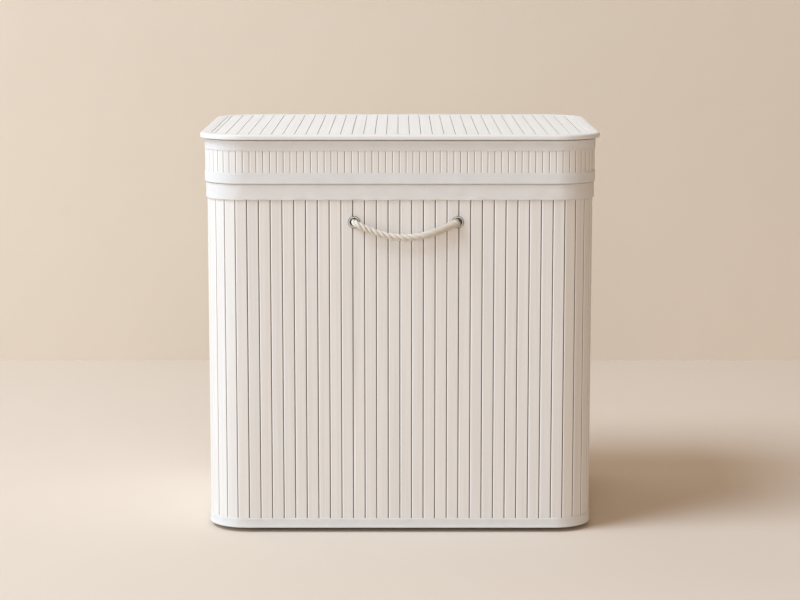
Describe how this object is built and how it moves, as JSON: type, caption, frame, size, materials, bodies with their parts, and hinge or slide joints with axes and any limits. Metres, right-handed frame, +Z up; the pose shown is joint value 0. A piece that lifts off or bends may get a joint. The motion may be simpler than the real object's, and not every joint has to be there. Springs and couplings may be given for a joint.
{
  "type": "laundry hamper with two bins",
  "caption": "Rounded rectangular laundry hamper in slatted bamboo, with a hinged slatted lid, a cotton liner divided into bins, and rope handles.",
  "frame": {"origin": "on the floor, under the middle of the hamper", "axes": "+Z up, +X to the right and -Y towards the viewer as seen from the front, which carries the handle under the lid's free edge"},
  "size_m": [0.6044, 0.4648, 0.6077],
  "materials": {
    "bamboo": "whitewashed bamboo slats, satin",
    "card": "stiff lining board, matte",
    "hoop_steel": "flat spring steel hoop",
    "trim_canvas": "off-white cotton canvas tape",
    "fibre_board": "thin hard fibre board",
    "glide_plastic": "moulded glide",
    "liner_cotton": "off-white plain weave cotton",
    "eyelet_metal": "antique nickel plate",
    "rope_cotton": "three-strand twisted cotton rope"
  },
  "bodies": {
    "hamper_body": {"wall_slats": "bamboo", "wall_lining": "card", "top_hoop": "hoop_steel", "bottom_hem": "trim_canvas", "base_board": "fibre_board", "glide_front_left": "glide_plastic", "glide_front_right": "glide_plastic", "glide_rear_left": "glide_plastic", "glide_rear_right": "glide_plastic", "liner_cuff": "liner_cotton", "left_bag": "liner_cotton", "right_bag": "liner_cotton", "divider_binding": "trim_canvas", "eyelet_front_left": "eyelet_metal", "eyelet_front_right": "eyelet_metal", "eyelet_rear_left": "eyelet_metal", "eyelet_rear_right": "eyelet_metal", "eyelet_washer_front_left": "eyelet_metal", "eyelet_washer_front_right": "eyelet_metal", "eyelet_washer_rear_left": "eyelet_metal", "eyelet_washer_rear_right": "eyelet_metal", "rope_end_front_left": "rope_cotton", "rope_end_front_right": "rope_cotton", "rope_end_rear_left": "rope_cotton", "rope_end_rear_right": "rope_cotton", "hinge_tape_lower": "trim_canvas"},
    "lid": {"lid_board": "fibre_board", "lid_slats": "bamboo", "lid_rim": "bamboo", "lid_lining": "liner_cotton", "skirt_frame": "card", "skirt_slats": "bamboo", "skirt_lower_band": "trim_canvas", "skirt_upper_band": "trim_canvas", "hinge_tape_upper": "trim_canvas"},
    "front_handle": {"front_rope": "rope_cotton"},
    "rear_handle": {"rear_rope": "rope_cotton"}
  },
  "joints": [
    {"name": "lid_hinge", "type": "hinge", "parent": "hamper_body", "child": "lid", "pos_m": [0, 0.2183, 0.53395], "axis": [-1, 0, 0], "range_deg": [0, 140]},
    {"name": "front_handle_swing", "type": "hinge", "parent": "hamper_body", "child": "front_handle", "pos_m": [0.0088, -0.222, 0.4765], "axis": [-1, 0, 0], "range_deg": [0, 135]},
    {"name": "rear_handle_swing", "type": "hinge", "parent": "hamper_body", "child": "rear_handle", "pos_m": [-0.0088, 0.222, 0.4765], "axis": [1, 0, 0], "range_deg": [0, 135]}
  ]
}
